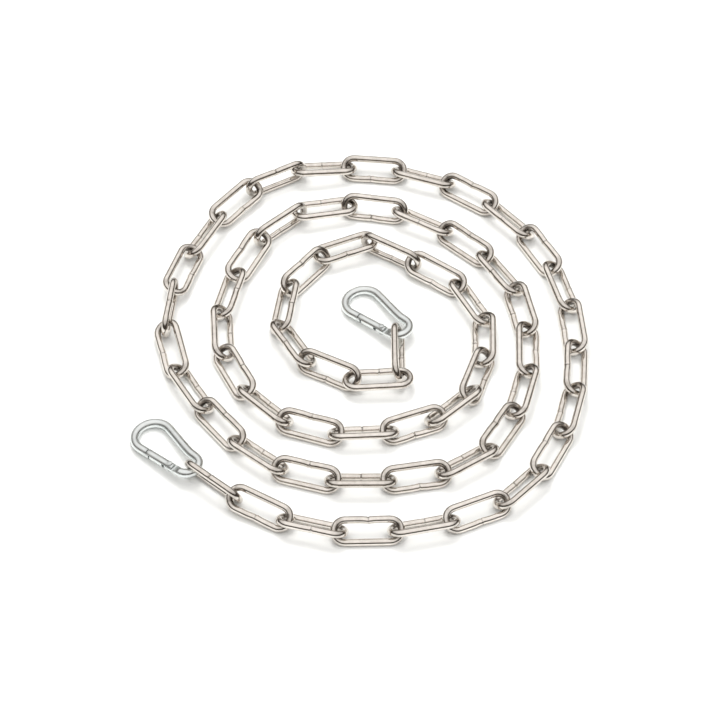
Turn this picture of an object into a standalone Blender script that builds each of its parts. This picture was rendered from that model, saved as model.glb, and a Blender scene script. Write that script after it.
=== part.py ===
"""A long-link steel chain with a snap hook at each end, laid down in a flat spiral.

The chain has 62 welded links. Each link threads the next one, and its plane is
turned against its neighbours' planes, so every second link leans outward and
the links between lean inward. A few links stand upright on one leg. The spiral
runs from the outer hook, counter-clockwise and inward, to the inner hook.

Frame: metres, +Z up, the chain lies on the plane Z = 0, and the origin is the
middle of the bounding box on that plane.
"""

import math

import bmesh
import bpy
from mathutils import Matrix, Vector

# ---- Chain link: 4 mm wire, 32 mm inside length, 8 mm inside width ----
WIRE_RADIUS = 0.0020
CROWN_RADIUS = 0.0060          # centreline of the wire round each end of a link
LEG_LENGTH = 0.0240            # straight stretch between the two ends
LINK_COUNT = 62
CROWN_STEPS = 5                # segments round each end
WIRE_RESOLUTION = 2            # gives the wire eight facets round
HALF_LINK = LEG_LENGTH / 2 + CROWN_RADIUS

# ---- How the links lie ----
LEAN = math.radians(35.0)      # tilt of an ordinary link about its own length
END_LEAN = math.radians(70.0)  # tilt of the two links that hold the hooks
STANDING_LINKS = (19, 23, 41, 55)
# Links in degrees that lean otherwise, beside a standing link or at a sharp bend.
OTHER_LEANS = {
    18: 26, 20: 25, 21: 44, 22: 22, 24: 27, 39: 52, 40: 10, 42: 20, 44: 42,
    46: 42, 50: 38, 51: 44, 54: 33, 56: 6, 57: 50, 58: 42, 60: 50, 61: 8,
}
HOOKING_DEPTH = 0.0027         # how far a crown reaches past its joint on a straight run
DEPTH_PER_RADIAN = 0.0011      # how much further it reaches where the chain bends
PAIR_STARTS = (4, 8, 12, 16, 25, 28, 32, 35, 42, 47)  # each is one solid with the next link
BEAD_RADIUS = 0.0012           # the bead that joins the two crowns of a pair
BEAD_FACETS = 8

# The route: joint number, x, y. Joint k is where link k meets link k + 1.
ROUTE = (
    (0, -0.095, -0.087), (1, -0.070, -0.110), (3, -0.012, -0.134),
    (6, 0.077, -0.117), (7, 0.098, -0.095), (9, 0.121, -0.039),
    (12, 0.114, 0.056), (15, 0.052, 0.124), (18, -0.040, 0.131),
    (20, -0.085, 0.093), (22, -0.108, 0.036), (23, -0.113, 0.007),
    (24, -0.105, -0.022), (27, -0.044, -0.093), (30, 0.046, -0.095),
    (31, 0.072, -0.078), (33, 0.094, -0.024), (35, 0.091, 0.037),
    (36, 0.074, 0.063), (38, 0.023, 0.099),
    (40, -0.038, 0.097), (42, -0.073, 0.049), (44, -0.079, -0.011),
    (46, -0.041, -0.060), (48, 0.017, -0.065), (50, 0.060, -0.039),
    (52, 0.070, 0.013), (53, 0.057, 0.040), (54, 0.030, 0.056),
    (55, 0.003, 0.072), (56, -0.022, 0.061), (57, -0.041, 0.038),
    (58, -0.046, 0.010), (59, -0.030, -0.017), (60, -0.005, -0.029),
    (61, 0.023, -0.028), (62, 0.0228, 0.0005),
)
SETTLING_ROUNDS = 400

# At three corners the next crown slides round the one before it: joint number,
# then how far back along the link before it, and how far to its left.
CORNERS = {
    55: (-0.0010, -0.0010), 60: (-0.0010, -0.0010), 61: (0.0020, 0.0025),
}

# ---- Snap hook: 50 mm long, bent from 5 mm bar; local X runs from eye to bow ----
BAR_RADIUS = 0.0025
EYE_RADIUS = 0.0065            # centreline radius of the small end, round the local origin
BOW_RADIUS = 0.0102            # centreline radius of the wide end
BOW_CENTRE = Vector((0.0287, -0.0020))
BAR_STEP = math.radians(24.0)  # turn of the bar's centreline at each point of an arc
BAR_RESOLUTION = 4             # gives the bar twelve facets round
BAR_FACET = math.radians(30.0)  # half of it turns the bar so that a facet faces inward
HOOK_HEADING = math.radians(137.0)
EYE_CLEARANCE = 0.0008
FORK_GAP = 0.0004              # clearance of the gate's slots round the body's tongues
TONGUE_HALF = 0.0009           # half thickness of the flattened ends of the body
HINGE_X = 0.0060               # rivet position along the hook
HINGE_TONGUE_REACH = 0.0023
BODY_SHOULDER = 0.0040         # from the rivet back to the full round bar
GATE_TAIL = 0.0024             # from the rivet back to the gate's tail
GATE_LENGTH = 0.0160           # from the rivet to the gate's nose end
NOSE_GAP = 0.0005
NOSE_TONGUE_LENGTH = 0.0022
SLOT_DEPTH_AT_HINGE = 0.0042
SLOT_DEPTH_AT_NOSE = 0.0028
RIVET_RADIUS = 0.0009
RIVET_HOLE_RADIUS = 0.0012
RIVET_HEAD_RADIUS = 0.0016
RIVET_HEAD_HEIGHT = 0.0005
RIVET_HEAD_TOP = 0.6           # radius of the head's flat top over the head's radius
TURNED_FACETS = 16             # facets round the rivets and the bores
HEAD_GAP = 0.0003
SPRING_RADIUS = 0.00095
SPRING_WIRE_RADIUS = 0.0002
SPRING_WIRE_RESOLUTION = 1     # gives the spring wire six facets round
SPRING_TURNS = 5
SPRING_STEPS = 8               # points of the coil's centreline in each turn
SPRING_START = 0.0038          # from the rivet
SPRING_END = 0.0095
SPRING_BORE_RADIUS = 0.0015
SPRING_BORE_END = 0.0100

# ---- Building ----
WELD_DISTANCE = 0.000001       # points closer than this are one point
TURN_WELD_DISTANCE = 0.00001
FRAME_MARK_SIZE = 0.005
CHAIN_STEEL = ((0.66, 0.62, 0.58), 0.22)   # colour, roughness
ZINC_PLATE = ((0.72, 0.76, 0.77), 0.30)
SPRING_STEEL = ((0.45, 0.45, 0.46), 0.35)
COLLECTION = "chain_with_snap_hooks"


def clear_scene():
    for obj in list(bpy.data.objects):
        bpy.data.objects.remove(obj, do_unlink=True)


def collection(name):
    made = bpy.data.collections.new(name)
    bpy.context.scene.collection.children.link(made)
    return made


def metal(name, colour, roughness):
    made = bpy.data.materials.new(name)
    made.use_nodes = True
    shader = made.node_tree.nodes["Principled BSDF"]
    shader.inputs["Base Color"].default_value = (*colour, 1.0)
    shader.inputs["Roughness"].default_value = roughness
    shader.inputs["Metallic"].default_value = 1.0
    made.diffuse_color = (*colour, 1.0)
    return made


# ---------------------------------------------------------------- the chain's path

def route_slopes(numbers, points):
    """Slope of the route at each listed point, from the points on both sides."""
    slopes = []
    last = len(points) - 1
    for i in range(last + 1):
        before = max(i - 1, 0)
        after = min(i + 1, last)
        slopes.append((points[after] - points[before]) / (numbers[after] - numbers[before]))
    return slopes


def smooth_route():
    """One point for each joint, on a cubic through the listed points."""
    numbers = [row[0] for row in ROUTE]
    points = [Vector(row[1:]) for row in ROUTE]
    slopes = route_slopes(numbers, points)
    joints = []
    piece = 0
    for joint in range(LINK_COUNT + 1):
        while joint > numbers[piece + 1]:
            piece += 1
        span = numbers[piece + 1] - numbers[piece]
        t = (joint - numbers[piece]) / span
        joints.append(
            (2 * t**3 - 3 * t**2 + 1) * points[piece]
            + (t**3 - 2 * t**2 + t) * span * slopes[piece]
            + (3 * t**2 - 2 * t**3) * points[piece + 1]
            + (t**3 - t**2) * span * slopes[piece + 1]
        )
    return joints


def crown_depth(joints, joint):
    """How far a crown reaches past this joint: more where the chain bends."""
    if joint in (0, LINK_COUNT):
        return HOOKING_DEPTH
    before = joints[joint] - joints[joint - 1]
    after = joints[joint + 1] - joints[joint]
    return HOOKING_DEPTH + DEPTH_PER_RADIAN * abs(before.angle_signed(after))


def settled_joints():
    """The route's joints, drawn together until no two links are pulled apart."""
    joints = smooth_route()
    for _ in range(SETTLING_ROUNDS):
        for link in range(1, LINK_COUNT + 1):
            start, end = joints[link - 1], joints[link]
            reach = 2 * HALF_LINK - crown_depth(joints, link - 1) - crown_depth(joints, link)
            gap = end - start
            if gap.length > reach:
                pull = gap * (0.5 * (gap.length - reach) / gap.length)
                joints[link - 1] = start + pull
                joints[link] = end - pull
    return joints


def link_lean(link):
    """Tilt of a link about its length; positive is inner side down."""
    if link in STANDING_LINKS:
        return math.pi / 2
    turned = link + sum(1 for standing in STANDING_LINKS if standing < link)
    side = 1 if turned % 2 else -1
    if link in (1, LINK_COUNT):
        return side * END_LEAN
    if link in OTHER_LEANS:
        return side * math.radians(OTHER_LEANS[link])
    return side * LEAN


def link_height(link):
    """Height of a link's middle when its lower leg lies on the ground."""
    return WIRE_RADIUS + CROWN_RADIUS * abs(math.sin(link_lean(link)))


def link_frames():
    """World matrix of each link: X along it, Y across it in its own plane."""
    joints = settled_joints()
    frames = {}
    for link in range(1, LINK_COUNT + 1):
        start = joints[link - 1].to_3d()
        end = joints[link].to_3d()
        start.z = max(link_height(link), link_height(max(link - 1, 1)))
        end.z = max(link_height(link), link_height(min(link + 1, LINK_COUNT)))
        if link - 1 in CORNERS:
            back, aside = CORNERS[link - 1]
            before = (joints[link - 1] - joints[link - 2]).normalized().to_3d()
            slide = Vector((-before.y, before.x, 0.0)) * aside - before * back
            start += slide
            end += slide
        along = (end - start).normalized()
        left = Vector((0.0, 0.0, 1.0)).cross(along).normalized()
        up = along.cross(left)
        lean = link_lean(link)
        across = left * math.cos(lean) - up * math.sin(lean)
        frame = Matrix((along, across, along.cross(across))).transposed().to_4x4()
        frame.translation = (start + end) / 2
        frames[link] = frame
    return frames


# ---------------------------------------------------------------- shared shapes

def tube(name, points, radius, closed, target, resolution, tilt=0.0):
    """A round bar or wire along a list of points, as a mesh with welded caps."""
    data = bpy.data.curves.new(name, "CURVE")
    data.dimensions = "3D"
    data.bevel_depth = radius
    data.bevel_resolution = resolution
    data.use_fill_caps = True
    spline = data.splines.new("POLY")
    spline.points.add(len(points) - 1)
    for knot, place in zip(spline.points, points):
        knot.co = (*place, 1.0)
        knot.tilt = tilt
    spline.use_cyclic_u = closed
    guide = bpy.data.objects.new(name + "_guide", data)
    bpy.context.scene.collection.objects.link(guide)
    bpy.context.view_layer.update()
    evaluated = guide.evaluated_get(bpy.context.evaluated_depsgraph_get())
    mesh = bpy.data.meshes.new_from_object(evaluated)
    mesh.name = name
    bpy.data.objects.remove(guide, do_unlink=True)
    shape = bmesh.new()
    shape.from_mesh(mesh)
    bmesh.ops.remove_doubles(shape, verts=shape.verts, dist=WELD_DISTANCE)
    bmesh.ops.recalc_face_normals(shape, faces=shape.faces)
    shape.to_mesh(mesh)
    shape.free()
    mesh.shade_smooth()
    made = bpy.data.objects.new(name, mesh)
    target.objects.link(made)
    return made


def cylinder(name, radius, start, end, target, segments=TURNED_FACETS):
    """A closed cylinder between two points."""
    axis = end - start
    turn = Vector((0.0, 0.0, 1.0)).rotation_difference(axis)
    place = Matrix.Translation((start + end) / 2) @ turn.to_matrix().to_4x4()
    mesh = bpy.data.meshes.new(name)
    shape = bmesh.new()
    bmesh.ops.create_cone(
        shape, cap_ends=True, segments=segments, radius1=radius, radius2=radius,
        depth=axis.length, matrix=place,
    )
    shape.to_mesh(mesh)
    shape.free()
    made = bpy.data.objects.new(name, mesh)
    target.objects.link(made)
    return made


def block(name, low, high, target):
    """A box between two corners."""
    mesh = bpy.data.meshes.new(name)
    shape = bmesh.new()
    size = high - low
    place = Matrix.Translation((low + high) / 2) @ Matrix.Diagonal((*size, 1.0))
    bmesh.ops.create_cube(shape, size=1.0, matrix=place)
    shape.to_mesh(mesh)
    shape.free()
    made = bpy.data.objects.new(name, mesh)
    target.objects.link(made)
    return made


def boolean(body, tool, operation):
    """Cut or join one object with a tool, which stays behind as a hidden guide."""
    modifier = body.modifiers.new(tool.name, "BOOLEAN")
    modifier.operation = operation
    modifier.object = tool
    tool.hide_render = True
    tool.display_type = "WIRE"


def place_under(parent, obj):
    obj.parent = parent
    obj.matrix_parent_inverse = Matrix.Identity(4)


def frame_empty(name, frame, target):
    made = bpy.data.objects.new(name, None)
    made.empty_display_size = FRAME_MARK_SIZE
    made.matrix_world = frame
    target.objects.link(made)
    return made


# ---------------------------------------------------------------- chain links

def link_outline():
    """Centreline of one link: two half circles joined by two straight legs."""
    points = []
    for end in (1, -1):
        for step in range(CROWN_STEPS + 1):
            angle = math.pi * (step / CROWN_STEPS - 0.5)
            x = LEG_LENGTH / 2 + CROWN_RADIUS * math.cos(angle)
            points.append(Vector((end * x, end * CROWN_RADIUS * math.sin(angle), 0.0)))
    return points


def make_link(name, frame, steel, target):
    made = tube(name, link_outline(), WIRE_RADIUS, True, target, WIRE_RESOLUTION)
    made.data.materials.append(steel)
    made.matrix_world = frame
    return made


def make_chain(target, guides, steel):
    frames = link_frames()
    link = 1
    while link <= LINK_COUNT:
        if link in PAIR_STARTS:
            made = make_link(f"link_{link:02d}_{link + 1:02d}", frames[link], steel, target)
            other = make_link(f"joined_{link + 1:02d}", frames[link + 1], steel, guides)
            bead = cylinder(
                f"bead_{link:02d}", BEAD_RADIUS, frames[link] @ Vector((HALF_LINK, 0.0, 0.0)),
                frames[link + 1] @ Vector((-HALF_LINK, 0.0, 0.0)), guides, BEAD_FACETS)
            boolean(made, bead, "UNION")
            boolean(made, other, "UNION")
            link += 2
        else:
            make_link(f"link_{link:02d}", frames[link], steel, target)
            link += 1
    return frames


# ---------------------------------------------------------------- snap hooks

def tangent_angle():
    """Direction of the gate-side line that touches the eye and bow circles."""
    return math.atan2(BOW_CENTRE.y, BOW_CENTRE.x) + math.asin(
        (BOW_RADIUS - EYE_RADIUS) / BOW_CENTRE.length)


def spine_angle():
    """Direction of the spine, which touches the two circles on the other side."""
    return math.atan2(BOW_CENTRE.y, BOW_CENTRE.x) - math.asin(
        (BOW_RADIUS - EYE_RADIUS) / BOW_CENTRE.length)


def gate_line(x):
    """Point of the gate-side centreline at a distance along the hook."""
    slope = tangent_angle()
    touch = Vector((-math.sin(slope), math.cos(slope))) * EYE_RADIUS
    return Vector((x, touch.y + (x - touch.x) * math.tan(slope), 0.0))


def arc(centre, radius, first, last):
    """Points of an arc, one every BAR_STEP or less."""
    steps = math.ceil(abs(last - first) / BAR_STEP)
    points = []
    for step in range(steps + 1):
        angle = first + (last - first) * step / steps
        points.append(Vector((centre.x + radius * math.cos(angle),
                              centre.y + radius * math.sin(angle), 0.0)))
    return points


def along_gate(distance, across=0.0, height=0.0):
    """A point in the hook, measured from the rivet along the gate."""
    slope = tangent_angle()
    along = Vector((math.cos(slope), math.sin(slope), 0.0))
    left = Vector((-math.sin(slope), math.cos(slope), 0.0))
    return gate_line(HINGE_X) + along * distance + left * across + Vector((0.0, 0.0, height))


def gate_frame():
    """Local matrix of the hinge: X along the gate, Z along the rivet."""
    frame = Matrix.Rotation(tangent_angle(), 4, "Z")
    frame.translation = gate_line(HINGE_X)
    return frame


def cut_tongue(body, name, start, end, frame, guides):
    """Flatten the bar between two distances along the gate, above and below."""
    for side, label in ((1, "top"), (-1, "under")):
        low = Vector((start, -2 * BAR_RADIUS, min(side * TONGUE_HALF, side * 2 * BAR_RADIUS)))
        high = Vector((end, 2 * BAR_RADIUS, max(side * TONGUE_HALF, side * 2 * BAR_RADIUS)))
        tool = block(f"{name}_{label}", low, high, guides)
        tool.matrix_world = frame @ gate_frame()
        boolean(body, tool, "DIFFERENCE")


def make_hook_body(prefix, frame, zinc, target, guides):
    """The bent bar, from its nose tongue round the bow and the eye to its hinge tongue."""
    upper = tangent_angle() + math.pi / 2
    lower = spine_angle() - math.pi / 2
    eye = Vector((0.0, 0.0))
    nose = GATE_LENGTH + NOSE_GAP - NOSE_TONGUE_LENGTH
    points = [along_gate(nose)]
    points += arc(BOW_CENTRE, BOW_RADIUS, upper, lower)
    points += arc(eye, EYE_RADIUS, lower, upper - 2 * math.pi)
    points += [along_gate(HINGE_TONGUE_REACH)]
    body = tube(
        f"{prefix}_hook_body", points, BAR_RADIUS, False, target, BAR_RESOLUTION, BAR_FACET / 2)
    body.data.materials.append(zinc)
    body.matrix_world = frame
    cut_tongue(body, f"{prefix}_nose_cut", nose - NOSE_GAP, GATE_LENGTH + NOSE_GAP, frame, guides)
    cut_tongue(body, f"{prefix}_hinge_cut", -BODY_SHOULDER, GATE_TAIL + NOSE_GAP, frame, guides)
    hole = cylinder(
        f"{prefix}_body_hole", RIVET_HOLE_RADIUS, along_gate(0.0, height=-2 * BAR_RADIUS),
        along_gate(0.0, height=2 * BAR_RADIUS), guides)
    hole.matrix_world = frame
    boolean(body, hole, "DIFFERENCE")
    return body


def make_gate(prefix, frame, zinc, target, guides):
    """The gate: a round bar with a fork at each end and a bore for its spring."""
    hinge = frame_empty(f"{prefix}_gate_hinge", frame @ gate_frame(), target)
    gate = tube(
        f"{prefix}_gate", [Vector((-GATE_TAIL, 0.0, 0.0)), Vector((GATE_LENGTH, 0.0, 0.0))],
        BAR_RADIUS, False, target, BAR_RESOLUTION, BAR_FACET / 2)
    gate.data.materials.append(zinc)
    place_under(hinge, gate)
    half = TONGUE_HALF + FORK_GAP
    wide = 2 * BAR_RADIUS
    slots = (
        ("hinge_slot", -2 * GATE_TAIL, SLOT_DEPTH_AT_HINGE),
        ("nose_slot", GATE_LENGTH - SLOT_DEPTH_AT_NOSE, GATE_LENGTH + GATE_TAIL),
    )
    tools = [
        block(f"{prefix}_{name}", Vector((start, -wide, -half)), Vector((end, wide, half)), guides)
        for name, start, end in slots
    ]
    tools.append(cylinder(
        f"{prefix}_gate_hole", RIVET_HOLE_RADIUS, Vector((0.0, 0.0, -wide)),
        Vector((0.0, 0.0, wide)), guides))
    tools.append(cylinder(
        f"{prefix}_spring_bore", SPRING_BORE_RADIUS, Vector((GATE_TAIL, 0.0, 0.0)),
        Vector((SPRING_BORE_END, 0.0, 0.0)), guides))
    for tool in tools:
        tool.matrix_world = hinge.matrix_world
        boolean(gate, tool, "DIFFERENCE")
    return hinge


def make_rivet(prefix, hinge, zinc, target):
    """A turned rivet: shank through fork and tongue, with a low head on each side."""
    bottom = -BAR_RADIUS - HEAD_GAP
    top_radius = RIVET_HEAD_RADIUS * RIVET_HEAD_TOP
    profile = [
        (0.0, -bottom + RIVET_HEAD_HEIGHT), (top_radius, -bottom + RIVET_HEAD_HEIGHT),
        (RIVET_HEAD_RADIUS, -bottom), (RIVET_RADIUS, -bottom),
        (RIVET_RADIUS, bottom), (RIVET_HEAD_RADIUS, bottom),
        (top_radius, bottom - RIVET_HEAD_HEIGHT), (0.0, bottom - RIVET_HEAD_HEIGHT),
    ]
    mesh = bpy.data.meshes.new(f"{prefix}_gate_rivet")
    mesh.from_pydata([(x, 0.0, z) for x, z in profile],
                     [(i, i + 1) for i in range(len(profile) - 1)], [])
    rivet = bpy.data.objects.new(f"{prefix}_gate_rivet", mesh)
    target.objects.link(rivet)
    turn = rivet.modifiers.new("turn", "SCREW")
    turn.steps = TURNED_FACETS
    turn.render_steps = TURNED_FACETS
    turn.use_merge_vertices = True
    turn.merge_threshold = TURN_WELD_DISTANCE
    rivet.data.materials.append(zinc)
    place_under(hinge, rivet)
    return rivet


def make_spring(prefix, hinge, steel, target):
    """The coil spring in the gate, which pushes against the body's hinge tongue."""
    total = SPRING_TURNS * SPRING_STEPS
    points = []
    for step in range(total + 1):
        angle = 2 * math.pi * step / SPRING_STEPS
        x = SPRING_START + (SPRING_END - SPRING_START) * step / total
        points.append(Vector((x, SPRING_RADIUS * math.cos(angle), SPRING_RADIUS * math.sin(angle))))
    spring = tube(
        f"{prefix}_gate_spring", points, SPRING_WIRE_RADIUS, False, target,
        SPRING_WIRE_RESOLUTION)
    spring.data.materials.append(steel)
    place_under(hinge, spring)
    return spring


def hook_frame(link_frame, end):
    """Where a hook lies: its eye hangs in a link's end and its bow rests on the ground."""
    along = link_frame.col[0].to_3d() * end
    crown = link_frame.translation + along * HALF_LINK
    bar = crown - along * (WIRE_RADIUS + BAR_RADIUS + EYE_CLEARANCE)
    heading = Vector((math.cos(HOOK_HEADING), math.sin(HOOK_HEADING), 0.0))
    reach = BOW_CENTRE.length + BOW_RADIUS + EYE_RADIUS * along.dot(heading)
    slope = math.asin((bar.z - BAR_RADIUS) / reach)
    along_hook = heading * math.cos(slope) - Vector((0.0, 0.0, math.sin(slope)))
    left = Vector((0.0, 0.0, 1.0)).cross(heading)
    up = along_hook.cross(left)
    frame = Matrix((along_hook, left, up)).transposed().to_4x4()
    frame.translation = bar + (along - up * along.dot(up)).normalized() * EYE_RADIUS
    return frame


def make_hook(prefix, frame, zinc, steel, target, guides):
    make_hook_body(prefix, frame, zinc, target, guides)
    hinge = make_gate(prefix, frame, zinc, target, guides)
    make_rivet(prefix, hinge, zinc, target)
    make_spring(prefix, hinge, steel, target)


# ---- build

def main():
    clear_scene()
    parts = collection(COLLECTION)
    guides = collection("cutters_and_guides")
    steel = metal("stainless_chain", *CHAIN_STEEL)
    zinc = metal("zinc_plate", *ZINC_PLATE)
    spring_steel = metal("spring_steel", *SPRING_STEEL)
    frames = make_chain(parts, guides, steel)
    make_hook("outer", hook_frame(frames[1], -1), zinc, spring_steel, parts, guides)
    make_hook("inner", hook_frame(frames[LINK_COUNT], 1), zinc, spring_steel, parts, guides)


main()
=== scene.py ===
"""Looks of the long-link chain with a snap hook at each end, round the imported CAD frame.

Every link and every piece of the two hooks is rebuilt here as a fine mesh in the place
that the CAD gives it, and rides on that CAD body. Metres, +Z up.
"""

import math
import random

import bmesh
import bpy
from mathutils import Matrix, Vector


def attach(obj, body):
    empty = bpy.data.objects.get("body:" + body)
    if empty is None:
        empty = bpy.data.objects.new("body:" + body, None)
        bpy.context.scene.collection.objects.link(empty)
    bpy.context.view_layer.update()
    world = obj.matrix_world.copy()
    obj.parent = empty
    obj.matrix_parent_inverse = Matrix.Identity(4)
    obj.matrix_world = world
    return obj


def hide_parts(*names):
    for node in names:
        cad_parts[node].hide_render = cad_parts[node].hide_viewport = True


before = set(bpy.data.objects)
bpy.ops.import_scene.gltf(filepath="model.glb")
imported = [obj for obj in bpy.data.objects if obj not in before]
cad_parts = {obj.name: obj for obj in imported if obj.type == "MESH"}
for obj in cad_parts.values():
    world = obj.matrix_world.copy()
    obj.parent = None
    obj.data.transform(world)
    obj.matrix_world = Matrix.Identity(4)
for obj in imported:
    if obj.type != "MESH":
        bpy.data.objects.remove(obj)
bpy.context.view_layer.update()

# ---- The chain, as the CAD lays it ----
WIRE_RADIUS = 0.0020
CROWN_RADIUS = 0.0060
LEG_LENGTH = 0.0240
LINK_COUNT = 62
HALF_LINK = LEG_LENGTH / 2 + CROWN_RADIUS
LEAN = math.radians(35.0)
END_LEAN = math.radians(70.0)
STANDING_LINKS = (19, 23, 41, 55)
OTHER_LEANS = {
    18: 26, 20: 25, 21: 44, 22: 22, 24: 27, 39: 52, 40: 10, 42: 20, 44: 42,
    46: 42, 50: 38, 51: 44, 54: 33, 56: 6, 57: 50, 58: 42, 60: 50, 61: 8,
}
HOOKING_DEPTH = 0.0027
DEPTH_PER_RADIAN = 0.0011
ROUTE = (
    (0, -0.095, -0.087), (1, -0.070, -0.110), (3, -0.012, -0.134),
    (6, 0.077, -0.117), (7, 0.098, -0.095), (9, 0.121, -0.039),
    (12, 0.114, 0.056), (15, 0.052, 0.124), (18, -0.040, 0.131),
    (20, -0.085, 0.093), (22, -0.108, 0.036), (23, -0.113, 0.007),
    (24, -0.105, -0.022), (27, -0.044, -0.093), (30, 0.046, -0.095),
    (31, 0.072, -0.078), (33, 0.094, -0.024), (35, 0.091, 0.037),
    (36, 0.074, 0.063), (38, 0.023, 0.099),
    (40, -0.038, 0.097), (42, -0.073, 0.049), (44, -0.079, -0.011),
    (46, -0.041, -0.060), (48, 0.017, -0.065), (50, 0.060, -0.039),
    (52, 0.070, 0.013), (53, 0.057, 0.040), (54, 0.030, 0.056),
    (55, 0.003, 0.072), (56, -0.022, 0.061), (57, -0.041, 0.038),
    (58, -0.046, 0.010), (59, -0.030, -0.017), (60, -0.005, -0.029),
    (61, 0.023, -0.028), (62, 0.0228, 0.0005),
)
SETTLING_ROUNDS = 400
CORNERS = {
    55: (-0.0010, -0.0010), 60: (-0.0010, -0.0010), 61: (0.0020, 0.0025),
}

# ---- The hooks, as the CAD has them ----
BAR_RADIUS = 0.0025
EYE_RADIUS = 0.0065
BOW_RADIUS = 0.0102
BOW_CENTRE = Vector((0.0287, -0.0020))
HOOK_HEADING = math.radians(137.0)
EYE_CLEARANCE = 0.0008
HINGE_X = 0.0060
TONGUE_HALF = 0.0009
FORK_GAP = 0.0004
BODY_SHOULDER = 0.0040
GATE_TAIL = 0.0024
GATE_LENGTH = 0.0160
NOSE_GAP = 0.0005
NOSE_TONGUE_LENGTH = 0.0022
SLOT_DEPTH_AT_HINGE = 0.0042
SLOT_DEPTH_AT_NOSE = 0.0028
HINGE_TONGUE_REACH = 0.0023
RIVET_RADIUS = 0.0009
RIVET_HOLE_RADIUS = 0.0012
SPRING_RADIUS = 0.00095
SPRING_WIRE_RADIUS = 0.0002
SPRING_TURNS = 5
SPRING_START = 0.0038
SPRING_END = 0.0095
SPRING_BORE_RADIUS = 0.0015

# ---- Fineness of the visible meshes ----
ROUND_STEPS = 20          # facets round a link's wire
CUTTER_STEPS = 32         # facets round a drilled hole
CROWN_STEPS = 14          # segments round each end of a link
LEG_STEPS = 24            # segments along each leg
LEG_SAG = 0.00030         # how far a leg dips inward at its weld
WELD_STATIONS = (-0.0011, -0.0008, -0.0006, -0.0004, -0.00027, -0.00013, 0.0,
                 0.00013, 0.00027, 0.0004, 0.0006, 0.0008, 0.0011)
BAR_STEPS = 28            # facets round a hook's bar
BAR_STEP = math.radians(6.0)
FILL_STEP = 0.0012        # longest straight step along a hook's bar
GATE_FILL_STEP = 0.0010
COIL_TURN_STEPS = 20
COIL_WIRE_STEPS = 8

# ---- Small shapes that only show ----
DRESSED_WIRE = 0.985      # wire radius left after polishing, as a share of the CAD's
WELD_SWELL = 0.060        # shares of the wire's radius
WELD_LUMP = 0.045
WELD_NICK = 0.22
SWELL_LENGTH = 0.0011
SWELL_OFFSET = 0.0004     # the swell and the lump sit on either side of the nick
LUMP_LENGTH = 0.0005
LUMP_OFFSET = 0.0006
NICK_LENGTH = 0.00042
WELD_REACH = 0.0012       # leg stations nearer than this give way to the weld's own
SAG_LENGTH = 0.0030
WELD_SPREAD = 0.0015      # how far a weld may sit from the middle of its leg
WELD_TWIST = 6.28         # and how far round the wire it may face, nearly a whole turn
SPINE_SET = 0.0007        # how far the spine runs inside the line from eye to bow
RAMP_ANGLE = math.radians(20.0)
RAMP_LENGTH = 0.0035      # from a tongue's shoulder back to the round bar
BODY_EDGE = 0.00022       # width of the rounding on cut edges
GATE_EDGE = 0.00025
GATE_BORE_END = 0.0100
HEAD_GAP = 0.0003
HEAD_RADIUS = 0.0015
HEAD_RIM = 0.00155
HEAD_BASE = 0.0001
HEAD_DOME = 0.00025

HEAD_ANGLES = (0.3, 0.6, 0.9, 1.2, 1.45)
ROUNDED_FROM = math.radians(40.0)  # edges sharper than this are rounded
SHARP_FROM = math.radians(32.0)
# How the spine's set comes in and goes out, as shares of the way from eye to bow.
SET_STARTS = 0.02
SET_RISE = 0.20
SET_FALL = 0.70
SET_BELOW = 0.9           # it takes only the bar farther out than this share of the eye

# ---- Painted shade in the hollows and joints: its strength, and how far from the place it reaches ----
BEARING_SHADE = 0.9
BEARING_REACH = 0.0035
LEG_SHARE = 0.5           # of the painted shade away from the inside of the crowns
CROWN_INSIDE = 0.004
WELD_NICK_SHADE = 0.45
WELD_NICK_SHADE_REACH = 0.00035
TONGUE_SHADE = 0.45
TONGUE_SHADE_REACH = 0.0040
GATE_END_SHADE = 0.35
GATE_END_SHADE_REACH = 0.0030
HOOK_SHADES = (0.2, 0.6)
STAIN_SCALE = 260.0
GRAIN_SCALE = 2600.0

# ---- Camera: the view that the chain is seen in ----
VIEW_ELEVATION = math.radians(50.9)
VIEW_TARGET = Vector((-0.0005, -0.0103, 0.0))
VIEW_DISTANCE = 1.424
VIEW_LENS = 127.05
SENSOR_WIDTH = 36.0
NEAR_CLIP = 0.01

# ---- Stage and light ----
FLOOR_HALF = 3.0
FLOOR_DEPTH = 0.02
FLOOR_TOP = -0.00002
FLOOR_COLOUR = (0.962, 0.97, 0.958)
KEY_PLACE = Vector((-0.20, 0.68, 1.42))
KEY_SIZE = (0.65, 0.5)
KEY_POWER = 9.0
KEY_COLOUR = (1.0, 0.99, 0.975)
FILL_PLACE = Vector((0.3, -0.2, 1.8))
FILL_SIZE = (2.2, 2.2)
FILL_POWER = 15.0
FILL_COLOUR = (0.96, 0.98, 1.0)
# Height in the sky and colour there: a dark band low down, then a soft pale dome.
SKY_STOPS = (
    (0.0, (0.060, 0.051, 0.044)), (0.44, (0.085, 0.073, 0.064)),
    (0.55, (0.66, 0.64, 0.62)), (0.80, (1.12, 1.10, 1.08)),
)
FAR_SIDE_LIFT = 0.14      # the dark band is lower on the side away from the viewer
BACKDROP = (0.93, 0.93, 0.92)

random.seed(41)


# ---------------------------------------------------------------- materials

def new_material(name):
    made = bpy.data.materials.new(name)
    made.use_nodes = True
    tree = made.node_tree
    return made, tree, tree.nodes["Principled BSDF"]


def node(tree, kind, **values):
    made = tree.nodes.new(kind)
    for key, value in values.items():
        setattr(made, key, value)
    return made


def noise(tree, vector, scale, detail=3.0, rough=0.55):
    made = node(tree, "ShaderNodeTexNoise")
    made.inputs["Scale"].default_value = scale
    made.inputs["Detail"].default_value = detail
    made.inputs["Roughness"].default_value = rough
    tree.links.new(vector, made.inputs["Vector"])
    return made.outputs["Fac"]


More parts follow.
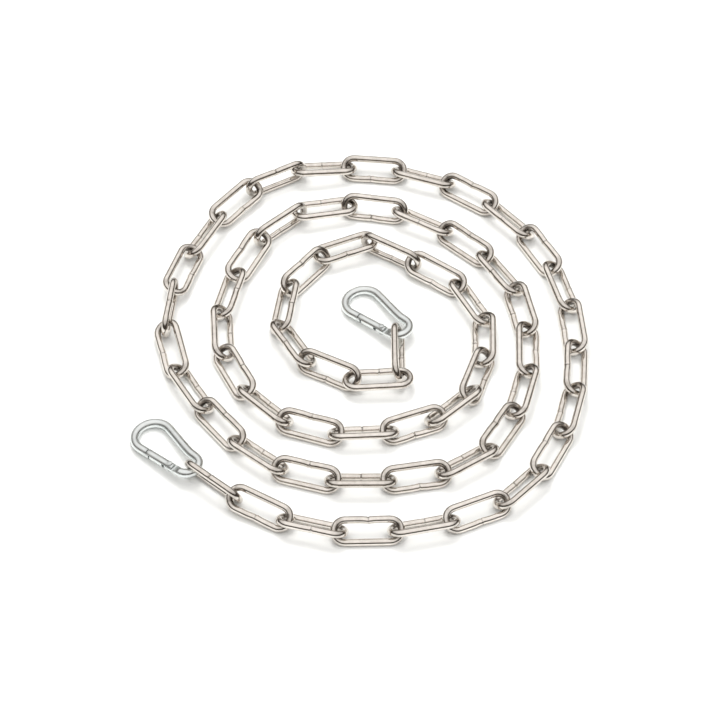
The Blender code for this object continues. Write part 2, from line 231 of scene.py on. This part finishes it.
def remap(tree, value, low, high, to_low, to_high):
    made = node(tree, "ShaderNodeMapRange")
    for slot, number in zip(("From Min", "From Max", "To Min", "To Max"),
                            (low, high, to_low, to_high)):
        made.inputs[slot].default_value = number
    tree.links.new(value, made.inputs["Value"])
    return made.outputs["Result"]


def mix(tree, factor, first, second):
    made = node(tree, "ShaderNodeMix", data_type="RGBA")
    for value, place in ((factor, 0), (first, 6), (second, 7)):
        if isinstance(value, bpy.types.NodeSocket):
            tree.links.new(value, made.inputs[place])
        else:
            made.inputs[place].default_value = value if place == 0 else (*value, 1.0)
    return made.outputs[2]


def maths(tree, operation, first, second):
    made = node(tree, "ShaderNodeMath", operation=operation)
    for value, place in ((first, 0), (second, 1)):
        if isinstance(value, bpy.types.NodeSocket):
            tree.links.new(value, made.inputs[place])
        else:
            made.inputs[place].default_value = value
    return made.outputs["Value"]


def bump(tree, shader, height, strength, distance):
    made = node(tree, "ShaderNodeBump")
    made.inputs["Strength"].default_value = strength
    made.inputs["Distance"].default_value = distance
    tree.links.new(height, made.inputs["Height"])
    tree.links.new(made.outputs["Normal"], shader.inputs["Normal"])


def metal(name, pale, deep, shade_colour, rough, drawn, bump_depth):
    """Polished or plated steel: drawn marks along the bar, faint stains, painted shade at the
    joints.
    """
    made, tree, shader = new_material(name)
    shader.inputs["Metallic"].default_value = 1.0
    place = node(tree, "ShaderNodeTexCoord")
    stretch = node(tree, "ShaderNodeMapping")
    stretch.inputs["Scale"].default_value = drawn
    tree.links.new(place.outputs["UV"], stretch.inputs["Vector"])
    lines = noise(tree, stretch.outputs["Vector"], 1.0, 4.0, 0.6)
    clouds = noise(tree, place.outputs["Object"], STAIN_SCALE, 3.0)
    grains = noise(tree, place.outputs["Object"], GRAIN_SCALE, 3.0, 0.6)
    tone = node(tree, "ShaderNodeVertexColor", layer_name="tone")
    split = node(tree, "ShaderNodeSeparateColor")
    tree.links.new(tone.outputs["Color"], split.inputs["Color"])
    stain = maths(tree, "ADD", remap(tree, clouds, 0.35, 0.7, 0.0, 0.7),
                  remap(tree, split.outputs["Red"], 0.0, 1.0, -0.25, 0.35))
    base = mix(tree, maths(tree, "MINIMUM", maths(tree, "MAXIMUM", stain, 0.0), 1.0), pale, deep)
    # The tone's green is painted shade: it darkens the colour in the hollows and joints, and
    # roughens them a little.
    shade_mask = maths(tree, "MULTIPLY", split.outputs["Green"],
                  remap(tree, clouds, 0.3, 0.7, 0.45, 1.0))
    base = mix(tree, shade_mask, base, shade_colour)
    tree.links.new(base, shader.inputs["Base Color"])
    rough_low, rough_high = rough
    worn = maths(tree, "ADD", remap(tree, lines, 0.3, 0.7, rough_low, rough_high),
                 maths(tree, "MULTIPLY", split.outputs["Green"], 0.18))
    tree.links.new(worn, shader.inputs["Roughness"])
    height = maths(tree, "ADD", maths(tree, "MULTIPLY", lines, 0.7),
                   maths(tree, "MULTIPLY", grains, 0.3))
    bump(tree, shader, height, 1.0, bump_depth)
    return made


# The third colour of each metal is its painted shade, for the hollows and joints.
CHAIN = metal("chain_steel_look", (0.82, 0.775, 0.725), (0.66, 0.615, 0.565), (0.10, 0.082, 0.068),
              (0.07, 0.13), (45.0, 1500.0, 1.0), 0.000003)
ZINC = metal("zinc_plate_look", (0.80, 0.83, 0.825), (0.69, 0.72, 0.715), (0.24, 0.25, 0.25),
             (0.25, 0.38), (90.0, 1500.0, 1.0), 0.000014)
SPRING = metal("spring_steel_look", (0.52, 0.52, 0.53), (0.38, 0.38, 0.39), (0.12, 0.12, 0.12),
               (0.22, 0.34), (60.0, 2400.0, 1.0), 0.000008)


# ---------------------------------------------------------------- the chain's path

def route_slopes(numbers, points):
    slopes = []
    last = len(points) - 1
    for i in range(last + 1):
        before = max(i - 1, 0)
        after = min(i + 1, last)
        slopes.append((points[after] - points[before]) / (numbers[after] - numbers[before]))
    return slopes


def smooth_route():
    numbers = [row[0] for row in ROUTE]
    points = [Vector(row[1:]) for row in ROUTE]
    slopes = route_slopes(numbers, points)
    joints = []
    piece = 0
    for joint in range(LINK_COUNT + 1):
        while joint > numbers[piece + 1]:
            piece += 1
        span = numbers[piece + 1] - numbers[piece]
        t = (joint - numbers[piece]) / span
        joints.append(
            (2 * t**3 - 3 * t**2 + 1) * points[piece]
            + (t**3 - 2 * t**2 + t) * span * slopes[piece]
            + (3 * t**2 - 2 * t**3) * points[piece + 1]
            + (t**3 - t**2) * span * slopes[piece + 1]
        )
    return joints


def crown_depth(joints, joint):
    if joint in (0, LINK_COUNT):
        return HOOKING_DEPTH
    before = joints[joint] - joints[joint - 1]
    after = joints[joint + 1] - joints[joint]
    return HOOKING_DEPTH + DEPTH_PER_RADIAN * abs(before.angle_signed(after))


def settled_joints():
    joints = smooth_route()
    for _ in range(SETTLING_ROUNDS):
        for link in range(1, LINK_COUNT + 1):
            start, end = joints[link - 1], joints[link]
            reach = 2 * HALF_LINK - crown_depth(joints, link - 1) - crown_depth(joints, link)
            gap = end - start
            if gap.length > reach:
                pull = gap * (0.5 * (gap.length - reach) / gap.length)
                joints[link - 1] = start + pull
                joints[link] = end - pull
    return joints


def link_lean(link):
    if link in STANDING_LINKS:
        return math.pi / 2
    turned = link + sum(1 for standing in STANDING_LINKS if standing < link)
    side = 1 if turned % 2 else -1
    if link in (1, LINK_COUNT):
        return side * END_LEAN
    if link in OTHER_LEANS:
        return side * math.radians(OTHER_LEANS[link])
    return side * LEAN


def link_height(link):
    return WIRE_RADIUS + CROWN_RADIUS * abs(math.sin(link_lean(link)))


def link_frames():
    joints = settled_joints()
    frames = {}
    for link in range(1, LINK_COUNT + 1):
        start = joints[link - 1].to_3d()
        end = joints[link].to_3d()
        start.z = max(link_height(link), link_height(max(link - 1, 1)))
        end.z = max(link_height(link), link_height(min(link + 1, LINK_COUNT)))
        if link - 1 in CORNERS:
            back, aside = CORNERS[link - 1]
            before = (joints[link - 1] - joints[link - 2]).normalized().to_3d()
            slide = Vector((-before.y, before.x, 0.0)) * aside - before * back
            start += slide
            end += slide
        along = (end - start).normalized()
        left = Vector((0.0, 0.0, 1.0)).cross(along).normalized()
        up = along.cross(left)
        lean = link_lean(link)
        across = left * math.cos(lean) - up * math.sin(lean)
        matrix = Matrix((along, across, along.cross(across))).transposed().to_4x4()
        matrix.translation = (start + end) / 2
        frames[link] = matrix
    return frames


# ---------------------------------------------------------------- swept bars

def sweep(name, centres, sideways, normal, radii, steps, closed):
    """A bar along a planar line.

    radii(i, angle) gives its radius. The UV map is in metres, along the bar and round it.
    """
    shape = bmesh.new()
    uv = shape.loops.layers.uv.new("UVMap")
    rings = []
    for i, (centre, side) in enumerate(zip(centres, sideways)):
        ring = []
        for step in range(steps):
            angle = 2 * math.pi * step / steps
            out = side * math.cos(angle) + normal * math.sin(angle)
            ring.append(shape.verts.new(centre + out * radii(i, angle)))
        rings.append(ring)
    run = [0.0]
    for first, second in zip(centres, centres[1:] + centres[:1]):
        run.append(run[-1] + (second - first).length)
    count = len(rings) if closed else len(rings) - 1
    for i in range(count):
        for step in range(steps):
            after = (step + 1) % steps
            following = (i + 1) % len(rings)
            face = shape.faces.new((rings[i][step], rings[i][after],
                                    rings[following][after], rings[following][step]))
            face.smooth = True
            round_now = 2 * math.pi * step / steps * WIRE_RADIUS
            round_next = 2 * math.pi * (step + 1) / steps * WIRE_RADIUS
            corners = ((run[i], round_now), (run[i], round_next),
                       (run[i + 1], round_next), (run[i + 1], round_now))
            for loop, corner in zip(face.loops, corners):
                loop[uv].uv = corner
    if not closed:
        for ring in (rings[0], rings[-1]):
            shape.faces.new(ring)
    bmesh.ops.recalc_face_normals(shape, faces=shape.faces)
    mesh = bpy.data.meshes.new(name)
    shape.to_mesh(mesh)
    shape.free()
    return mesh


def paint_tone(mesh, tone):
    """Red is the piece's own tone, green is painted shade; tone(place) gives both."""
    layer = mesh.color_attributes.new("tone", "FLOAT_COLOR", "POINT")
    for vertex, value in zip(mesh.vertices, layer.data):
        red, green = tone(vertex.co)
        value.color = (red, green, 0.0, 1.0)


def hump(distance, length):
    """A smooth hump, 1 in its middle and gone a few lengths away."""
    return math.exp(-(distance / length) ** 2)


def leg_stations(weld_at):
    """Places along a leg, from its far end back, with close ones round the weld."""
    places = {LEG_LENGTH * (0.5 - step / LEG_STEPS) for step in range(LEG_STEPS)}
    if weld_at is not None:
        places = {x for x in places if abs(x - weld_at) > WELD_REACH}
        places |= {weld_at + offset for offset in WELD_STATIONS}
    return sorted(places, reverse=True)


def link_line(weld_side, weld_at):
    """Centreline of a link, its outward directions, and each point's place along the legs."""
    centres, sideways, legs = [], [], []
    for end in (1, -1):
        for step in range(CROWN_STEPS):
            angle = math.pi * (step / CROWN_STEPS - 0.5)
            out = Vector((end * math.cos(angle), end * math.sin(angle), 0.0))
            centres.append(Vector((end * LEG_LENGTH / 2, 0.0, 0.0)) + out * CROWN_RADIUS)
            sideways.append(out)
            legs.append(None)
        for station in leg_stations(end * weld_at if end == weld_side else None):
            x = end * station
            sag = LEG_SAG * hump(x - weld_at, SAG_LENGTH) * (end == weld_side)
            centres.append(Vector((x, end * (CROWN_RADIUS - sag), 0.0)))
            sideways.append(Vector((0.0, end, 0.0)))
            legs.append((end, x))
    return centres, sideways, legs


def link_mesh(name, weld_side, weld_at, twist):
    centres, sideways, legs = link_line(weld_side, weld_at)

    def radii(i, angle):
        """The wire is round, with a dressed weld on one leg, which is polished a little thinner.
        """
        if legs[i] is None or legs[i][0] != weld_side:
            return WIRE_RADIUS
        x = legs[i][1] - weld_at
        swell = WELD_SWELL * hump(x - SWELL_OFFSET, SWELL_LENGTH)
        lump = WELD_LUMP * hump(x + LUMP_OFFSET, LUMP_LENGTH) * math.cos(2.0 * (angle - twist))
        nick = WELD_NICK * hump(x, NICK_LENGTH) * (0.5 + 0.5 * math.cos(angle - twist))
        return WIRE_RADIUS * (DRESSED_WIRE + swell + lump - nick)

    mesh = sweep(name, centres, sideways, Vector((0.0, 0.0, 1.0)), radii, ROUND_STEPS, True)
    shade = random.random()

    def tone(place):
        """Painted shade inside the crowns, where the neighbours bear, and in the weld's nick."""
        bearing = max(0.0, 1.0 - abs(abs(place.x) - HALF_LINK + WIRE_RADIUS) / BEARING_REACH)
        weld = hump(place.x - weld_at, WELD_NICK_SHADE_REACH) * (place.y * weld_side > 0)
        in_crown = abs(place.x) > LEG_LENGTH / 2 and abs(place.y) < CROWN_INSIDE
        share = 1.0 if in_crown else LEG_SHARE
        return shade, min(1.0, BEARING_SHADE * bearing * share + WELD_NICK_SHADE * weld)

    paint_tone(mesh, tone)
    mesh.materials.append(CHAIN)
    return mesh


def add(name, mesh, matrix, body, slot, *replaced):
    mesh.transform(matrix)
    made = bpy.data.objects.new(name, mesh)
    bpy.context.scene.collection.objects.link(made)
    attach(made, body)
    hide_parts(*replaced)
    return made


def cad_node_of(link):
    """The CAD node that holds a link: its own, or the pair's."""
    names = (f"link_{link:02d}", f"link_{link:02d}_{link + 1:02d}",
             f"link_{link - 1:02d}_{link:02d}")
    return next(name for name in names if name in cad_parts)


def make_chain(frames):
    for link in range(1, LINK_COUNT + 1):
        weld_side = random.choice((1, -1))
        weld_at = random.uniform(-WELD_SPREAD, WELD_SPREAD)
        twist = random.uniform(0, WELD_TWIST)
        mesh = link_mesh(f"wire_{link:02d}", weld_side, weld_at, twist)
        cad_node = cad_node_of(link)
        add(f"wire_link_{link:02d}", mesh, frames[link], cad_node, "chain_steel", cad_node)


# ---------------------------------------------------------------- snap hooks

def tangent_angle():
    return math.atan2(BOW_CENTRE.y, BOW_CENTRE.x) + math.asin(
        (BOW_RADIUS - EYE_RADIUS) / BOW_CENTRE.length)


def spine_angle():
    return math.atan2(BOW_CENTRE.y, BOW_CENTRE.x) - math.asin(
        (BOW_RADIUS - EYE_RADIUS) / BOW_CENTRE.length)


def gate_line(x):
    slope = tangent_angle()
    touch = Vector((-math.sin(slope), math.cos(slope))) * EYE_RADIUS
    return Vector((x, touch.y + (x - touch.x) * math.tan(slope), 0.0))


def along_gate(distance, across=0.0, height=0.0):
    slope = tangent_angle()
    along = Vector((math.cos(slope), math.sin(slope), 0.0))
    left = Vector((-math.sin(slope), math.cos(slope), 0.0))
    return gate_line(HINGE_X) + along * distance + left * across + Vector((0.0, 0.0, height))


def gate_frame():
    matrix = Matrix.Rotation(tangent_angle(), 4, "Z")
    matrix.translation = gate_line(HINGE_X)
    return matrix


def arc(centre, radius, first, last):
    steps = math.ceil(abs(last - first) / BAR_STEP)
    return [Vector((centre.x + radius * math.cos(first + (last - first) * s / steps),
                    centre.y + radius * math.sin(first + (last - first) * s / steps), 0.0))
            for s in range(steps + 1)]


def fill_in(points, step):
    """Adds points on the long straight stretches."""
    filled = []
    for first, second in zip(points, points[1:]):
        parts = max(1, round((second - first).length / step))
        filled += [first.lerp(second, i / parts) for i in range(parts)]
    return filled + [points[-1]]


def directions(points):
    """The left-hand side of a planar line at each of its points."""
    sides = []
    for i in range(len(points)):
        way = points[min(i + 1, len(points) - 1)] - points[max(i - 1, 0)]
        sides.append(Vector((-way.y, way.x, 0.0)).normalized())
    return sides


def cutter(name, mesh, matrix):
    made = bpy.data.objects.new(name, mesh)
    bpy.context.scene.collection.objects.link(made)
    made.matrix_world = matrix
    return made


def block_mesh(name, low, high):
    shape = bmesh.new()
    size = high - low
    bmesh.ops.create_cube(
        shape, size=1.0,
        matrix=Matrix.Translation((low + high) / 2) @ Matrix.Diagonal((*size, 1.0)))
    mesh = bpy.data.meshes.new(name)
    shape.to_mesh(mesh)
    shape.free()
    return mesh


def cylinder_mesh(name, radius, start, end):
    axis = end - start
    turn = Vector((0.0, 0.0, 1.0)).rotation_difference(axis).to_matrix().to_4x4()
    shape = bmesh.new()
    bmesh.ops.create_cone(shape, cap_ends=True, segments=CUTTER_STEPS,
                          radius1=radius, radius2=radius, depth=axis.length,
                          matrix=Matrix.Translation((start + end) / 2) @ turn)
    mesh = bpy.data.meshes.new(name)
    shape.to_mesh(mesh)
    shape.free()
    return mesh


def cut_and_round(mesh, tools, edge):
    """The mesh with the tools cut out of it and its sharp edges rounded."""
    body = bpy.data.objects.new("work", mesh)
    bpy.context.scene.collection.objects.link(body)
    objects = [cutter(f"tool_{i}", tool, Matrix.Identity(4)) for i, tool in enumerate(tools)]
    for tool in objects:
        modifier = body.modifiers.new(tool.name, "BOOLEAN")
        modifier.operation = "DIFFERENCE"
        modifier.object = tool
    rounding = body.modifiers.new("rounding", "BEVEL")
    rounding.width = edge
    rounding.segments = 2
    rounding.limit_method = "ANGLE"
    rounding.angle_limit = ROUNDED_FROM
    evaluated = body.evaluated_get(bpy.context.evaluated_depsgraph_get())
    made = bpy.data.meshes.new_from_object(evaluated)
    for old in (body, *objects):
        bpy.data.objects.remove(old, do_unlink=True)
    for polygon in made.polygons:
        polygon.use_smooth = True
    made.set_sharp_from_angle(angle=SHARP_FROM)
    return made


def slab(start, end, side, half, wide):
    """A block that flattens the bar above or below its middle plane."""
    low = min(side * half, side * wide)
    high = max(side * half, side * wide)
    return block_mesh("slab", Vector((start, -wide, low)), Vector((end, wide, high)))


def moved(mesh, matrix):
    mesh.transform(matrix)
    return mesh


def spine_set(place):
    """The spine runs a little inside the eye, which swells out of it in a short curve."""
    along = Vector((math.cos(spine_angle()), math.sin(spine_angle()), 0.0))
    inward = Vector((-along.y, along.x, 0.0))
    if place.dot(inward) > -EYE_RADIUS * SET_BELOW:
        return Vector((0.0, 0.0, 0.0))
    run = place.dot(along) / BOW_CENTRE.length
    rise = min(1.0, max(0.0, (run - SET_STARTS) / SET_RISE))
    fall = min(1.0, max(0.0, (1.0 - run) / SET_FALL))
    smooth = rise * rise * (3.0 - 2.0 * rise) * fall * fall * (3.0 - 2.0 * fall)
    return inward * SPINE_SET * smooth


def hook_body_mesh(name):
    """The bent bar: nose tongue, bow, straight spine, eye and hinge tongue."""
    upper = tangent_angle() + math.pi / 2
    lower = spine_angle() - math.pi / 2
    eye = Vector((0.0, 0.0))
    nose = GATE_LENGTH + NOSE_GAP - NOSE_TONGUE_LENGTH
    points = [along_gate(nose)]
    points += arc(BOW_CENTRE, BOW_RADIUS, upper, lower)
    points += arc(eye, EYE_RADIUS, lower, upper - 2 * math.pi)
    points += [along_gate(HINGE_TONGUE_REACH)]
    points = fill_in(points, FILL_STEP)
    points = [place + spine_set(place) for place in points]
    sides = directions(points)
    mesh = sweep(name, points, sides, Vector((0.0, 0.0, 1.0)),
                 lambda i, angle: BAR_RADIUS, BAR_STEPS, False)
    wide = 2 * BAR_RADIUS
    tools = []
    for side in (1, -1):
        tools.append(moved(slab(nose - NOSE_GAP, GATE_LENGTH + NOSE_GAP, side, TONGUE_HALF, wide),
                           gate_frame()))
        tools.append(moved(slab(-BODY_SHOULDER, GATE_TAIL + NOSE_GAP, side, TONGUE_HALF, wide),
                           gate_frame()))
        ramp = slab(-BODY_SHOULDER - RAMP_LENGTH, -BODY_SHOULDER + FORK_GAP, side, 0.0, wide)
        tilt = Matrix.Rotation(side * RAMP_ANGLE, 4, "Y")
        lift = Matrix.Translation((-BODY_SHOULDER, 0.0, side * TONGUE_HALF))
        ramp.transform(gate_frame() @ lift @ tilt @ Matrix.Translation((BODY_SHOULDER, 0.0, 0.0)))
        tools.append(ramp)
    tools.append(cylinder_mesh("hole", RIVET_HOLE_RADIUS, along_gate(0.0, height=-wide),
                               along_gate(0.0, height=wide)))
    return cut_and_round(mesh, tools, BODY_EDGE)


def gate_mesh(name):
    """The gate: a round bar with a rounded knuckle, a fork at each end and a spring bore."""
    ends = [Vector((-GATE_TAIL, 0.0, 0.0)), Vector((GATE_LENGTH, 0.0, 0.0))]
    points = fill_in(ends, GATE_FILL_STEP)
    sides = directions(points)
    mesh = sweep(name, points, sides, Vector((0.0, 0.0, 1.0)),
                 lambda i, angle: BAR_RADIUS, BAR_STEPS, False)
    half = TONGUE_HALF + FORK_GAP
    wide = 2 * BAR_RADIUS
    tools = [
        block_mesh("hinge_slot", Vector((-2 * GATE_TAIL, -wide, -half)),
                   Vector((SLOT_DEPTH_AT_HINGE, wide, half))),
        block_mesh("nose_slot", Vector((GATE_LENGTH - SLOT_DEPTH_AT_NOSE, -wide, -half)),
                   Vector((GATE_LENGTH + GATE_TAIL, wide, half))),
        cylinder_mesh("hole", RIVET_HOLE_RADIUS, Vector((0.0, 0.0, -wide)),
                      Vector((0.0, 0.0, wide))),
        cylinder_mesh("bore", SPRING_BORE_RADIUS, Vector((GATE_TAIL, 0.0, 0.0)),
                      Vector((GATE_BORE_END, 0.0, 0.0))),
    ]
    return cut_and_round(mesh, tools, GATE_EDGE)


def rivet_mesh(name):
    """Shank and two low domed heads."""
    half = BAR_RADIUS + HEAD_GAP
    profile = [(0.0, half + HEAD_BASE + HEAD_DOME)]
    profile += [(HEAD_RADIUS * math.sin(a), half + HEAD_BASE + HEAD_DOME * math.cos(a))
                for a in HEAD_ANGLES]
    profile += [(HEAD_RIM, half), (RIVET_RADIUS, half)]
    profile += [(x, -z) for x, z in reversed(profile)]
    shape = bmesh.new()
    rings = []
    for radius, height in profile:
        if radius == 0.0:
            rings.append([shape.verts.new((0.0, 0.0, height))])
            continue
        rings.append([shape.verts.new((radius * math.cos(2 * math.pi * s / BAR_STEPS),
                                       radius * math.sin(2 * math.pi * s / BAR_STEPS), height))
                      for s in range(BAR_STEPS)])
    for first, second in zip(rings, rings[1:]):
        for s in range(BAR_STEPS):
            after = (s + 1) % BAR_STEPS
            corners = [first[s % len(first)], first[after % len(first)],
                       second[after % len(second)], second[s % len(second)]]
            unique = [c for i, c in enumerate(corners) if c not in corners[:i]]
            shape.faces.new(unique)
    bmesh.ops.recalc_face_normals(shape, faces=shape.faces)
    mesh = bpy.data.meshes.new(name)
    shape.to_mesh(mesh)
    shape.free()
    for polygon in mesh.polygons:
        polygon.use_smooth = True
    mesh.set_sharp_from_angle(angle=ROUNDED_FROM)
    return mesh


def spring_mesh(name):
    """The coil in the gate's bore."""
    total = SPRING_TURNS * COIL_TURN_STEPS
    shape = bmesh.new()
    rings = []
    for step in range(total + 1):
        angle = 2 * math.pi * step / COIL_TURN_STEPS
        x = SPRING_START + (SPRING_END - SPRING_START) * step / total
        out = Vector((0.0, math.cos(angle), math.sin(angle)))
        centre = Vector((x, 0.0, 0.0)) + out * SPRING_RADIUS
        ring = []
        for s in range(COIL_WIRE_STEPS):
            around = 2 * math.pi * s / COIL_WIRE_STEPS
            ring.append(shape.verts.new(centre + SPRING_WIRE_RADIUS * (
                out * math.cos(around) + Vector((math.sin(around), 0.0, 0.0)))))
        rings.append(ring)
    for first, second in zip(rings, rings[1:]):
        for s in range(COIL_WIRE_STEPS):
            after = (s + 1) % COIL_WIRE_STEPS
            face = shape.faces.new((first[s], first[after], second[after], second[s]))
            face.smooth = True
    shape.faces.new(rings[0])
    shape.faces.new(rings[-1])
    bmesh.ops.recalc_face_normals(shape, faces=shape.faces)
    mesh = bpy.data.meshes.new(name)
    shape.to_mesh(mesh)
    shape.free()
    return mesh


def hook_frame(link_matrix, end):
    along = link_matrix.col[0].to_3d() * end
    crown = link_matrix.translation + along * HALF_LINK
    bar = crown - along * (WIRE_RADIUS + BAR_RADIUS + EYE_CLEARANCE)
    heading = Vector((math.cos(HOOK_HEADING), math.sin(HOOK_HEADING), 0.0))
    reach = BOW_CENTRE.length + BOW_RADIUS + EYE_RADIUS * along.dot(heading)
    slope = math.asin((bar.z - BAR_RADIUS) / reach)
    along_hook = heading * math.cos(slope) - Vector((0.0, 0.0, math.sin(slope)))
    left = Vector((0.0, 0.0, 1.0)).cross(heading)
    up = along_hook.cross(left)
    matrix = Matrix((along_hook, left, up)).transposed().to_4x4()
    matrix.translation = bar + (along - up * along.dot(up)).normalized() * EYE_RADIUS
    return matrix


def finish_mesh(mesh, material, tone):
    paint_tone(mesh, tone)
    mesh.materials.clear()
    mesh.materials.append(material)
    return mesh


def make_hook(prefix, matrix):
    shade = random.uniform(*HOOK_SHADES)
    hinge = gate_frame()

    def body_tone(place):
        """Painted shade round the hinge and the nose, where the cut tongues sit in the gate's
        forks.
        """
        joint = min((place - hinge.translation).length, (place - along_gate(GATE_LENGTH)).length)
        return shade, TONGUE_SHADE * max(0.0, 1.0 - joint / TONGUE_SHADE_REACH)

    def gate_tone(place):
        # Painted shade near both ends of the gate, where its forks close over the tongues.
        ends = min(abs(place.x), abs(place.x - GATE_LENGTH))
        return shade, GATE_END_SHADE * max(0.0, 1.0 - ends / GATE_END_SHADE_REACH)

    body = f"{prefix}_hook"
    gate = f"{prefix}_gate"
    add(f"{prefix}_bar", finish_mesh(hook_body_mesh(f"{prefix}_bar"), ZINC, body_tone), matrix,
        body, "zinc_plated_steel", f"{prefix}_hook_body")
    add(f"{prefix}_gate_bar", finish_mesh(gate_mesh(f"{prefix}_gate_bar"), ZINC, gate_tone),
        matrix @ hinge, gate, "zinc_plated_steel", f"{prefix}_gate")
    add(f"{prefix}_rivet", finish_mesh(rivet_mesh(f"{prefix}_rivet"), ZINC, gate_tone),
        matrix @ hinge, body, "rivet_steel", f"{prefix}_gate_rivet")
    add(f"{prefix}_coil", finish_mesh(spring_mesh(f"{prefix}_coil"), SPRING, gate_tone),
        matrix @ hinge, gate, "spring_steel", f"{prefix}_gate_spring")


# ---------------------------------------------------------------- stage

def make_stage():
    floor = bpy.data.objects.new("floor", block_mesh(
        "floor", Vector((-FLOOR_HALF, -FLOOR_HALF, -FLOOR_DEPTH)),
        Vector((FLOOR_HALF, FLOOR_HALF, FLOOR_TOP))))
    bpy.context.scene.collection.objects.link(floor)
    made, _, shader = new_material("white_floor")
    shader.inputs["Base Color"].default_value = (*FLOOR_COLOUR, 1.0)
    shader.inputs["Roughness"].default_value = 0.9
    shader.inputs["Specular IOR Level"].default_value = 0.1
    floor.data.materials.append(made)


def area(name, place, size, power, colour):
    """A soft lamp aimed at the middle of the part, which its metal doesn't mirror."""
    data = bpy.data.lights.new(name, "AREA")
    data.shape = "RECTANGLE"
    data.size, data.size_y = size
    data.energy = power
    data.color = colour
    made = bpy.data.objects.new(name, data)
    bpy.context.scene.collection.objects.link(made)
    made.location = place
    made.rotation_mode = "QUATERNION"
    made.rotation_quaternion = (-place).to_track_quat("-Z", "Y")
    made.visible_glossy = False


def make_light():
    area("key", KEY_PLACE, KEY_SIZE, KEY_POWER, KEY_COLOUR)
    area("fill", FILL_PLACE, FILL_SIZE, FILL_POWER, FILL_COLOUR)
    world = bpy.data.worlds.new("soft_studio")
    bpy.context.scene.world = world
    world.use_nodes = True
    tree = world.node_tree
    back = tree.nodes["Background"]
    place = node(tree, "ShaderNodeTexCoord")
    split = node(tree, "ShaderNodeSeparateXYZ")
    tree.links.new(place.outputs["Generated"], split.inputs["Vector"])
    ramp = node(tree, "ShaderNodeValToRGB")
    ramp.color_ramp.interpolation = "EASE"
    elements = ramp.color_ramp.elements
    while len(elements) < len(SKY_STOPS):
        elements.new(1.0)
    for element, (position, colour) in zip(elements, SKY_STOPS):
        element.position = position
        element.color = (*colour, 1.0)
    farther = maths(tree, "MULTIPLY", split.outputs["Y"], FAR_SIDE_LIFT)
    tree.links.new(maths(tree, "ADD", split.outputs["Z"], farther), ramp.inputs["Fac"])
    path = node(tree, "ShaderNodeLightPath")
    seen = mix(tree, path.outputs["Is Camera Ray"], ramp.outputs["Color"], BACKDROP)
    tree.links.new(seen, back.inputs["Color"])
    back.inputs["Strength"].default_value = 1.0
    bpy.context.scene.view_settings.view_transform = "Standard"


def make_camera():
    data = bpy.data.cameras.new("camera")
    data.sensor_width = SENSOR_WIDTH
    data.lens = VIEW_LENS
    data.clip_start = NEAR_CLIP
    made = bpy.data.objects.new("camera", data)
    bpy.context.scene.collection.objects.link(made)
    back = Vector((0.0, -math.cos(VIEW_ELEVATION), math.sin(VIEW_ELEVATION)))
    made.location = VIEW_TARGET + back * VIEW_DISTANCE
    made.rotation_mode = "QUATERNION"
    made.rotation_quaternion = (-back).to_track_quat("-Z", "Y")
    bpy.context.scene.camera = made


make_stage()
make_light()
make_camera()
placed = link_frames()
make_chain(placed)
make_hook("outer", hook_frame(placed[1], -1))
make_hook("inner", hook_frame(placed[LINK_COUNT], 1))
